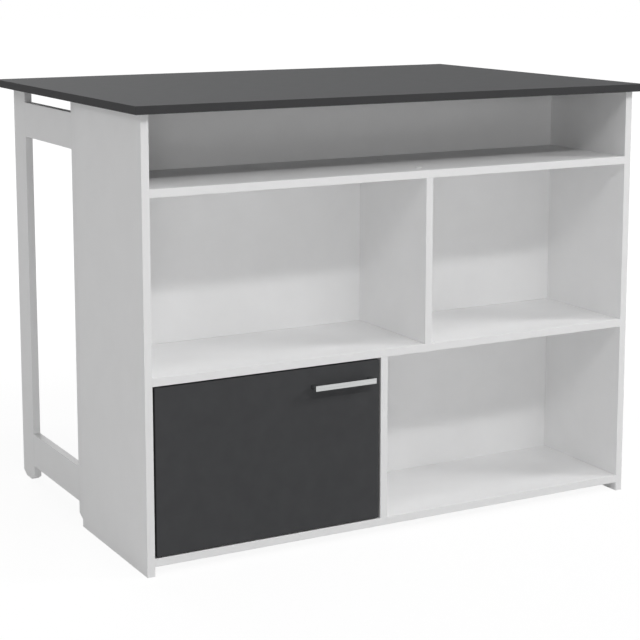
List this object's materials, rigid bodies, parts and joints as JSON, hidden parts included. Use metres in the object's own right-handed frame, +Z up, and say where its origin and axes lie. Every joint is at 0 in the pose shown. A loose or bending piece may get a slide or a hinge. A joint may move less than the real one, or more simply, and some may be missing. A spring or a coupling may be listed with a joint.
{
  "type": "bar table",
  "caption": "Bar-height table with a dark top, an open white storage unit with one dark hinged door at the front, and side frames round an open seating side at the back.",
  "frame": {"origin": "on the floor, under the centre of the box round the whole table", "axes": "+Z up; -Y is the front, where the storage unit and its door face; +Y is the open seating side; +X is to the right seen from the front, along the table's length"},
  "size_m": [1.168, 0.804, 0.9],
  "materials": {
    "anthracite_board": "anthracite melamine on particle board, matte",
    "white_board": "white melamine on particle board, fine matte",
    "brushed_handle": "brushed, satin",
    "zinc_plated_steel": "zinc plated",
    "steel": "bright turned steel",
    "zinc_alloy": "die-cast, dull",
    "beech": "raw fluted beech",
    "nylon": "moulded white nylon",
    "black_nylon": "moulded black nylon",
    "blackened_steel": "black oxide, oiled",
    "white_plastic": "moulded white plastic",
    "magnet": "black ferrite magnet"
  },
  "bodies": {
    "table": {"tabletop": "anthracite_board", "left_side_panel": "white_board", "right_side_panel": "white_board", "bottom_board": "white_board", "middle_shelf": "white_board", "upper_shelf": "white_board", "upper_divider": "white_board", "lower_divider": "white_board", "lower_back_panel": "white_board", "upper_back_panel": "white_board", "left_post": "white_board", "right_post": "white_board", "left_rear_leg": "white_board", "right_rear_leg": "white_board", "left_top_rail": "white_board", "right_top_rail": "white_board", "left_bottom_rail": "white_board", "right_bottom_rail": "white_board", "pivot_pins": "blackened_steel", "catch_housing": "nylon", "catch_magnet": "magnet", "catch_poles": "zinc_plated_steel", "catch_screws": "zinc_plated_steel", "shelf_cams": "zinc_alloy", "shelf_cam_bolts": "steel", "rail_cams": "zinc_alloy", "rail_cam_bolts": "steel", "shelf_dowels": "beech", "rail_dowels": "beech", "divider_dowels": "beech", "tabletop_dowels": "beech", "divider_screws": "zinc_plated_steel", "back_screws": "zinc_plated_steel", "cover_caps": "white_plastic", "post_screws": "zinc_plated_steel", "top_brackets": "zinc_plated_steel", "bracket_screws": "zinc_plated_steel"},
    "door": {"door_panel": "anthracite_board", "handle_bar": "brushed_handle", "handle_posts": "brushed_handle", "handle_screws": "zinc_plated_steel", "pivot_bushes": "black_nylon", "strike_plate": "zinc_plated_steel", "strike_screw": "zinc_plated_steel"}
  },
  "joints": [
    {"name": "door_hinge", "type": "hinge", "parent": "table", "child": "door", "pos_m": [-0.54, -0.373, 0.203], "axis": [0, 0, -1], "range_deg": [0, 110]}
  ]
}
